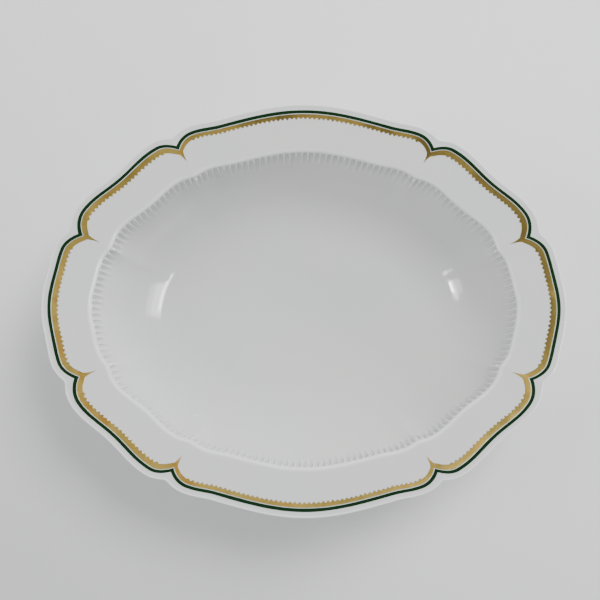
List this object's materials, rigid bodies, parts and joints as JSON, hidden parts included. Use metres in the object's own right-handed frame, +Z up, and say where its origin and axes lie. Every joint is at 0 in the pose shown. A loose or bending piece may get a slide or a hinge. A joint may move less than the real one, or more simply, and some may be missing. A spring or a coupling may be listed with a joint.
{
  "type": "oval serving dish",
  "caption": "Deep oval porcelain serving dish with a broad lobed rim, a dark green line, a toothed gilt border and a rounded well on an oval foot.",
  "frame": {"origin": "centre of the plane that the foot stands on, under the middle of the dish", "axes": "+X along the length, +Y across the width, +Z up out of the well"},
  "size_m": [0.254, 0.2008, 0.052],
  "materials": {
    "porcelain": "clear glossy glaze",
    "bisque": "unglazed, ground smooth",
    "green_enamel": "glossy fired enamel",
    "gilt": "burnished fired gold"
  },
  "bodies": {
    "root": {"bowl": "porcelain", "rim": "porcelain", "foot_ring": "bisque", "green_line": "green_enamel", "gilt_band": "gilt"}
  },
  "joints": []
}
